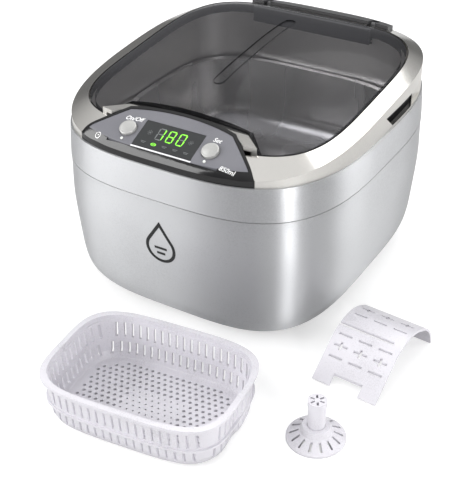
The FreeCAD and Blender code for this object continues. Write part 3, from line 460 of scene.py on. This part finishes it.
class CLEANER_OT_emblem(PieceOperator):
    """Print a plain water drop on the front of the housing"""

    bl_idname = "cleaner.emblem"
    bl_label = "Emblem"

    level = 61.5   # of the drop's middle, above the table
    stroke, ripple = 2.0, 1.6   # widths of the outline and of the two lines inside it

    def drop(self, bm, height, stroke):
        """Outline of a drop: a circle whose top is drawn along its tangents to a point."""
        radius = 0.36 * height * MM
        apex = height * MM - radius
        touch = math.acos(radius / apex)
        foot = Vector((radius * math.sin(touch), radius * math.cos(touch), 0))
        bmesh.ops.create_circle(bm, cap_ends=True, segments=96, radius=radius)
        for v in bm.verts:
            turn = math.atan2(v.co.x, v.co.y)
            if abs(turn) < touch:
                along = abs(turn) / touch
                v.co.x = math.copysign(foot.x * along, v.co.x)
                v.co.y = apex + (foot.y - apex) * along
        bmesh.ops.translate(bm, vec=(0, radius - height / 2 * MM, 0), verts=bm.verts)
        face = list(bm.faces)
        bmesh.ops.inset_region(bm, faces=face, thickness=stroke * MM, use_even_offset=True,
                               use_boundary=True)
        bmesh.ops.delete(bm, geom=face, context="FACES")

    def execute(self, context):
        _, sizes = settings()
        height = sizes.emblem / MM
        bm = bmesh.new()
        self.drop(bm, height, self.stroke)
        for long, down in ((0.3, 0.14), (0.2, 0.27)):
            stamp(bm, bar(long * height, self.ripple), at(0, -down * height))
        low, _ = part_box("lower_housing")
        middle = Vector((0, low.y, self.level * MM))
        front = Matrix.Translation(middle) @ Matrix.Rotation(math.radians(90), 4, "X")
        printed(bm, front, surface_of("lower_housing"), sizes.ink)
        ink = moulded("Black Pad-Print Ink", "0C0C0D", 0.35, 0.3, 0.002)
        piece("front_emblem", bm, ink, "machine")
        return {"FINISHED"}


class CLEANER_OT_panel(PieceOperator):
    """Dress the panel's film and its lamps, and print its words and a timer mark"""

    bl_idname = "cleaner.panel"
    bl_label = "Control Panel"

    def execute(self, context):
        colours, sizes = settings()
        dress(("control_panel",), panel_film(colours.film))
        plane, film = panel_plane(), surface_of("control_panel", "panel_surround")
        white = moulded("White Screen-Print Ink", "F2F2F2", 0.5, 0.3, 0.002)
        words = (("on_off_label", "On/Off", 3.9, at(-27.4, 7.4, 4)),
                 ("set_label", "Set", 3.9, at(26.9, 8.0, 0)),
                 ("volume_label", "850ml", 3.7, at(41.2, -8.2, -1)))
        for name, word, size, place in words:
            bm = bmesh.new()
            stamp(bm, lettering(word, size, 0.25), place)
            printed(bm, plane, film, sizes.ink)
            piece(name, bm, white, "machine")
        # A small clock stands for the timer at the panel's left corner.
        clock, x, y = bmesh.new(), -43, -8.6
        stamp(clock, hoop(1.9, 0.38), at(x, y))
        stamp(clock, bar(0.35, 1.3), at(x, y + 0.6))
        stamp(clock, bar(1.1, 0.35), at(x + 0.4, y))
        printed(clock, plane, film, sizes.ink)
        piece("timer_mark", clock, white, "machine")
        lens = moulded("Frosted Lamp Lens", "E9ECE6", 0.3, 0.2, 0.002)
        dress(("indicator_lights",), lens)
        return {"FINISHED"}


class CLEANER_OT_display(PieceOperator):
    """Dress the tinted window and draw the lit and unlit segments of its display"""

    bl_idname = "cleaner.display"
    bl_label = "Display"

    lit = {"1": "bc", "8": "abcdefg", "0": "abcdef"}
    first, middle = -6.3, 1.9   # the first digit's place across, and how far up all three sit
    ink = 0.03   # thickness of a segment

    def segment(self, length, width):
        """Six-sided bar: a hexagon with its ends drawn apart."""
        def shape(bm):
            old = set(bm.verts)
            bmesh.ops.create_circle(bm, cap_ends=True, segments=6, radius=width / 2 * MM)
            for v in bm.verts:
                if v not in old:
                    v.co.x += math.copysign((length - width) / 2 * MM, v.co.x)
        return shape

    def digit(self, lit, unlit, character, x, height):
        """One seven-segment digit; dark segments go to the other drawing."""
        wide, thick = height * 0.44, height * 0.1
        half = height / 2 - thick / 2
        upright = height / 2 - thick * 0.9
        places = {"a": (0, half, 0), "g": (0, 0, 0), "d": (0, -half, 0),
                  "b": (wide / 2, half / 2, 90), "c": (wide / 2, -half / 2, 90),
                  "f": (-wide / 2, half / 2, 90), "e": (-wide / 2, -half / 2, 90)}
        for name, (dx, dy, turn) in places.items():
            length = upright if turn else wide - thick * 0.4
            drawing = lit if name in self.lit[character] else unlit
            stamp(drawing, self.segment(length, thick), at(x + dx, self.middle + dy, turn))

    def sun(self, bm, x, y):
        """Small ring of short rays."""
        stamp(bm, disc(0.42, 12), at(x, y))
        for i in range(8):
            turn = 45 * i
            dx, dy = math.cos(math.radians(turn)), math.sin(math.radians(turn))
            stamp(bm, bar(0.75, 0.22), at(x + 1.25 * dx, y + 1.25 * dy, turn))

    def execute(self, context):
        colours, sizes = settings()
        # Dark acrylic: nearly black and polished, so the room shows in it.
        window = moulded("Tinted Acrylic Window", "2A2C2D", 0.08, 8, 0.0005, IOR=1.49)
        dress(("display_window",), window)
        dress(("display_module",), moulded("Black Display Body", "1B1B1C", 0.55))
        height, pitch = sizes.digit_height / MM, sizes.digit_pitch / MM
        lit, unlit = bmesh.new(), bmesh.new()
        for i, character in enumerate("180"):
            self.digit(lit, unlit, character, self.first + pitch * i, height)
        self.sun(unlit, -13.1, 1.4)
        self.sun(unlit, 13.4, 1.9)
        # Two short lines stand for each unlit word below the digits, and a ring for the lit one.
        for x in (-13.6, 0.2, 7.2, 14.2):
            stamp(unlit, bar(3.2, 0.3), at(x, -5.2))
            stamp(unlit, bar(2.2, 0.3), at(x, -6.0))
        stamp(lit, hoop(1.0, 0.26), at(-6.7, -5.7, 0, 1.7, 1))
        stamp(lit, bar(1.9, 0.3), at(-6.7, -5.7))
        lean = Matrix.Shear("XY", 4, (-0.12, 0))
        for bm in (lit, unlit):
            bmesh.ops.transform(bm, matrix=lean, verts=bm.verts)
        plane, glass = panel_plane(), surface_of("display_window")
        printed(lit, plane, glass, self.ink * MM)
        printed(unlit, plane, glass, self.ink * MM)
        piece("display_digits", lit, lit_segment(colours.digits, 0.9), "machine")
        dim = moulded("Unlit Display Segment", "6A6D6E", 0.3, 0.3, 0.001)
        piece("display_dim_marks", unlit, dim, "machine")
        edge = bmesh.new()
        stamp(edge, bar(39.4, 0.8), at(0, -9.75))
        printed(edge, plane, surface_of("control_panel"), sizes.ink)
        sill = moulded("White Printed Sill", "E4E4E6", 0.45, 0.3, 0.002)
        piece("display_sill", edge, sill, "machine")
        return {"FINISHED"}


class CLEANER_OT_keys(PieceOperator):
    """Turn the two round keys, each with a dished cap, a flange and a stem"""

    bl_idname = "cleaner.keys"
    bl_label = "Keys"

    flange_top, flange_low, stem = -2.6, -3.6, 2.2   # heights from the film, and a radius

    def execute(self, context):
        colours, sizes = settings()
        lacquer = moulded("Silver Lacquered Key", colours.keys, 0.36, 0.5, 0.003,
                          Metallic=0.45, Coat_Weight=0.2)
        r, top = sizes.key_radius / MM, sizes.key_rise / MM
        out = panel_plane().to_3x3() @ Vector((0, 0, 1))
        for node, body in (("on_off_button", "on_off_key"), ("set_button", "set_key")):
            low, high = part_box(node)
            across = (low.x + high.x) / 2
            place = Matrix.Translation((across, 0, 0)) @ panel_plane()
            vertices = frame["nodes"][node].data.vertices
            depth = min((v.co - place.translation).dot(out) for v in vertices) / MM
            flange = (high.x - low.x) / 2 / MM
            profile = ((0, top - 0.45), (r * 0.4, top - 0.38), (r * 0.72, top - 0.16),
                       (r * 0.84, top), (r * 0.92, top - 0.03), (r * 0.98, top - 0.2),
                       (r, top - 0.5), (r, self.flange_top), (flange, self.flange_top),
                       (flange, self.flange_low), (self.stem, self.flange_low),
                       (self.stem, depth), (0, depth))
            bm = turned(profile, 64, None, place)
            piece(node + "_cap", bm, lacquer, body, (node,), 40)
        return {"FINISHED"}


class CLEANER_OT_lid(PieceOperator):
    """Make the lid's smoked polycarbonate"""

    bl_idname = "cleaner.lid"
    bl_label = "Lid"

    def execute(self, context):
        colours, _ = settings()
        dress(("lid_window",), smoked_lid(colours.lid))
        return {"FINISHED"}


class CLEANER_OT_tank(PieceOperator):
    """Dress the drawn steel tank and its gasket"""

    bl_idname = "cleaner.tank"
    bl_label = "Tank"

    def execute(self, context):
        colours, _ = settings()
        # Deep-drawn 304 steel: satin, with fine lines drawn down its walls.
        steel = metal("Drawn Stainless Steel", colours.steel, 0.24, 1.4, 0.002, (1, 1, 0.2))
        dress(("tank",), steel)
        dress(("tank_gasket",), moulded("Silicone Gasket", "343434", 0.65))
        return {"FINISHED"}


class CLEANER_OT_base(PieceOperator):
    """Turn the four rubber feet and dress the base screws"""

    bl_idname = "cleaner.base"
    bl_label = "Base"

    def execute(self, context):
        low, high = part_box("rubber_feet")
        radius, height = 8.0, (high.z - low.z) / MM
        # A shallow cup in the sole keeps the foot from sliding.
        profile = ((0, 0.5), (3.2, 0.5), (3.8, 0), (radius - 1.1, 0), (radius - 0.3, 0.3),
                   (radius, 1), (radius, height), (0, height))
        bm = bmesh.new()
        for sx in (-1, 1):
            for sy in (-1, 1):
                place = Matrix.Translation((sx * (high.x - radius * MM),
                                            sy * (high.y - radius * MM), low.z))
                turned(profile, 40, bm, place)
        rubber = moulded("Moulded Rubber", "1E1E1E", 0.75, 0.6, 0.02)
        piece("rubber_foot_pads", bm, rubber, "machine", ("rubber_feet",))
        dress(("base_screws",), metal("Zinc-Plated Screw", "A9ABAE", 0.3))
        return {"FINISHED"}


class CLEANER_OT_inside(PieceOperator):
    """Dress the electronics, the transducer, the wires and the mains socket"""

    bl_idname = "cleaner.inside"
    bl_label = "Inside"

    def execute(self, context):
        board = moulded("Solder-Masked Circuit Board", "1E5A32", 0.3, 1.2, 0.02)
        dress(("main_board", "control_board"), board)
        black = moulded("Black Phenolic", "1C1C1D", 0.45)
        dress(("tact_switches", "power_transistor", "power_inlet"), black)
        dress(("transformer",), metal("Enamelled Copper Winding", "8A4A20", 0.35, 0.6, 0.05,
                                      (1, 1, 6)))
        aluminium = metal("Extruded Aluminium", "B6B8BA", 0.35, 0.8, 0.01, (1, 1, 0.1))
        dress(("heat_sink", "transducer_front_mass"), aluminium)
        dress(("transducer_back_mass", "transducer_bolt"), metal("Turned Steel", "9C9C9E", 0.3))
        dress(("piezo_rings",), moulded("Fired Piezo Ceramic", "A89A80", 0.6, 0.5, 0.01))
        dress(("capacitors",), moulded("Shrink Sleeve", "22314A", 0.35, 3, 0.01))
        dress(("fuse",), moulded("Fuse Glass and Cap", "C9CBC6", 0.15, 3, 0.001))
        dress(("inlet_pins",), metal("Brass Pin", "C9A24B", 0.22))
        dress(("transducer_leads", "mains_leads"), moulded("Silicone Wire", "7A2420", 0.5))
        return {"FINISHED"}


class CLEANER_OT_accessories(PieceOperator):
    """Dress the basket, the watch stand and the disc holder"""

    bl_idname = "cleaner.accessories"
    bl_label = "Accessories"

    def execute(self, context):
        colours, _ = settings()
        white = moulded("White Polypropylene", colours.accessories, 0.3, 0.7, 0.002, IOR=1.49,
                        Coat_Weight=0.3, Coat_Roughness=0.12)
        dress(("basket", "watch_stand", "disc_holder_foot", "disc_holder_post"), white)
        return {"FINISHED"}


class CLEANER_OT_stage(PieceOperator):
    """Set the pale floor, the soft lights and the camera"""

    bl_idname = "cleaner.stage"
    bl_label = "Studio"

    aim_across, aim_up = -12.968, 3.921   # what the camera looks at, from the origin, in its view
    lamp_aim = 60   # height that the lamps look at

    def lamp(self, name, azimuth, elevation, distance, width, height, power):
        """Soft box that looks at the cleaner; azimuth is measured from the front to the right."""
        data = bpy.data.lights.new(name, "AREA")
        data.shape, data.size, data.size_y, data.energy = "RECTANGLE", width, height, power
        light = bpy.data.objects.new(name, data)
        a, e = math.radians(azimuth), math.radians(elevation)
        away = Vector((math.sin(a) * math.cos(e), -math.cos(a) * math.cos(e), math.sin(e)))
        light.location = away * distance + Vector((0, 0, self.lamp_aim * MM))
        light.rotation_euler = away.to_track_quat("Z", "Y").to_euler()
        bpy.context.scene.collection.objects.link(light)

    def camera(self, scene, stage):
        a, e, r = stage.azimuth, stage.elevation, stage.roll
        back = Vector((math.sin(a) * math.cos(e), -math.cos(a) * math.cos(e), math.sin(e)))
        right = Vector((math.cos(a), math.sin(a), 0))
        up = back.cross(right)
        across = right * math.cos(r) + up * math.sin(r)
        upward = up * math.cos(r) - right * math.sin(r)
        aim = across * self.aim_across * MM + upward * self.aim_up * MM
        data = bpy.data.cameras.new("camera")
        data.sensor_width, data.lens = 36, stage.lens
        data.clip_start, data.clip_end = 0.01, 20
        obj = bpy.data.objects.new("camera", data)
        turn = Matrix((across, upward, back)).transposed().to_4x4()
        obj.matrix_world = Matrix.Translation(aim + back * stage.distance) @ turn
        scene.collection.objects.link(obj)
        scene.camera = obj

    def floor(self, scene, stage):
        bm = bmesh.new()
        bmesh.ops.create_grid(bm, x_segments=8, y_segments=8, size=stage.floor_radius)
        mesh = bpy.data.meshes.new("floor")
        bm.to_mesh(mesh)
        bm.free()
        mesh.materials.append(matt_floor())
        floor = bpy.data.objects.new("floor", mesh)
        floor.location.z = -0.05 * MM
        scene.collection.objects.link(floor)

    def room(self, scene):
        """Surroundings: dim round the sides, bright overhead, and a white backdrop."""
        world = bpy.data.worlds.new("studio")
        world.use_nodes = True
        tree = world.node_tree
        rise = add(tree, "SeparateXYZ", {0: add(tree, "TexCoord").outputs["Generated"]})
        room = add(tree, "MapRange", {0: rise.outputs[2], 1: 0.2, 2: 0.9, 3: 0.2, 4: 0.95})
        seen = add(tree, "LightPath").outputs["Is Camera Ray"]
        strength = add(tree, "Math", {0: room.outputs[0], 1: seen}, operation="MAXIMUM")
        tree.nodes["Background"].inputs["Color"].default_value = rgba("FFFFFF")
        tree.links.new(strength.outputs[0], tree.nodes["Background"].inputs["Strength"])
        scene.world = world

    def execute(self, context):
        scene = context.scene
        stage = scene.cleaner_stage
        self.floor(scene, stage)
        self.room(scene)
        scene.view_settings.view_transform = "Standard"
        self.lamp("key", -48, 24, 1.5, 1.2, 0.9, 19)
        self.lamp("top", 185, 58, 1.4, 1.2, 1.0, 8)
        self.lamp("corner_strip", 59, 8, 1.1, 0.13, 0.5, 5.5)
        self.lamp("side", 128, 12, 1.2, 0.45, 0.6, 5)
        self.camera(scene, stage)
        return {"FINISHED"}


class CLEANER_PT_panel(bpy.types.Panel):
    """Sidebar panel that lists the settings and the steps"""

    bl_idname = "CLEANER_PT_panel"
    bl_label = "Ultrasonic Cleaner"
    bl_space_type = "VIEW_3D"
    bl_region_type = "UI"
    bl_category = "Cleaner"

    def draw(self, context):
        scene = context.scene
        for group in (scene.cleaner_colours, scene.cleaner_sizes, scene.cleaner_stage):
            for name in group.__annotations__:
                self.layout.prop(group, name)
        for step in STEPS:
            self.layout.operator(step.bl_idname)


GROUPS = {"cleaner_colours": CleanerColours, "cleaner_sizes": CleanerSizes,
          "cleaner_stage": CleanerStage}
STEPS = (CLEANER_OT_stage, CLEANER_OT_housing, CLEANER_OT_emblem, CLEANER_OT_panel,
         CLEANER_OT_display, CLEANER_OT_keys, CLEANER_OT_lid, CLEANER_OT_tank,
         CLEANER_OT_base, CLEANER_OT_inside, CLEANER_OT_accessories)


def register():
    for name, group in GROUPS.items():
        bpy.utils.register_class(group)
        setattr(bpy.types.Scene, name, bpy.props.PointerProperty(type=group))
    for cls in (*STEPS, CLEANER_PT_panel):
        bpy.utils.register_class(cls)


def unregister():
    for cls in (CLEANER_PT_panel, *reversed(STEPS)):
        bpy.utils.unregister_class(cls)
    for name, group in GROUPS.items():
        delattr(bpy.types.Scene, name)
        bpy.utils.unregister_class(group)


def main():
    register()
    for step in STEPS:
        family, name = step.bl_idname.split(".")
        getattr(getattr(bpy.ops, family), name)()


if __name__ == "__main__":
    main()
